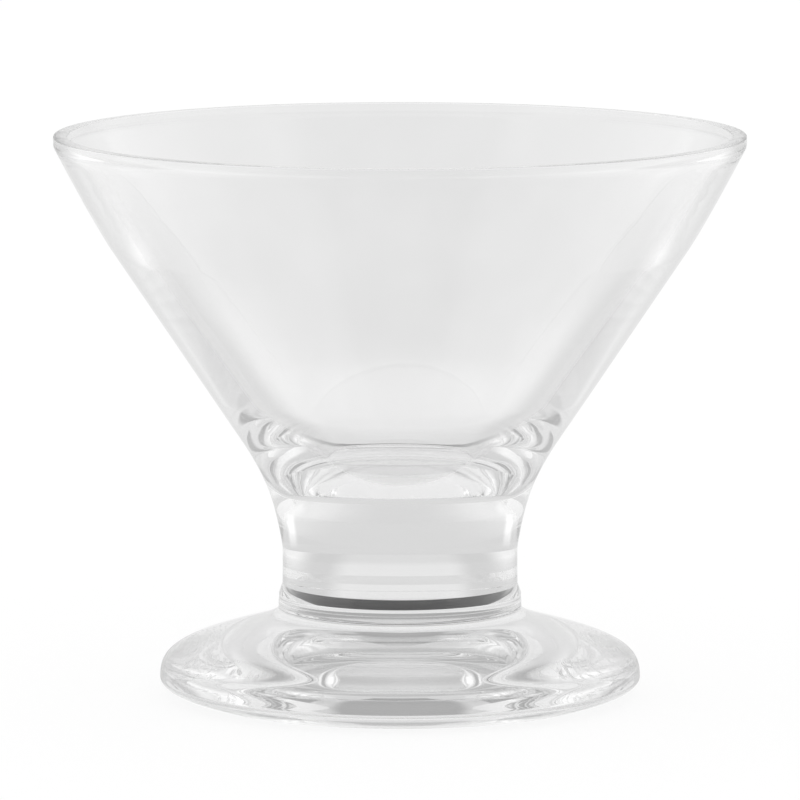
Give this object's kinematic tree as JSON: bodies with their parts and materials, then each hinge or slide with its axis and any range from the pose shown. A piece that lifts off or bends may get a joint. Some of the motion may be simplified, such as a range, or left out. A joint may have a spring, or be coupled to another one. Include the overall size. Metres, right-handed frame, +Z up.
{
  "type": "ice cream glass",
  "caption": "Clear ice cream glass: a conical bowl on a short solid stem and a thick round foot.",
  "frame": {"origin": "centre of the foot's underside, on the table that the glass stands on", "axes": "+Z up along the glass's axis of turning, from the foot to the rim"},
  "size_m": [0.11, 0.11, 0.09],
  "materials": {
    "glass": "clear soda-lime glass, fire-polished"
  },
  "bodies": {
    "root": {"bowl": "glass", "stem": "glass", "foot": "glass"}
  },
  "joints": []
}
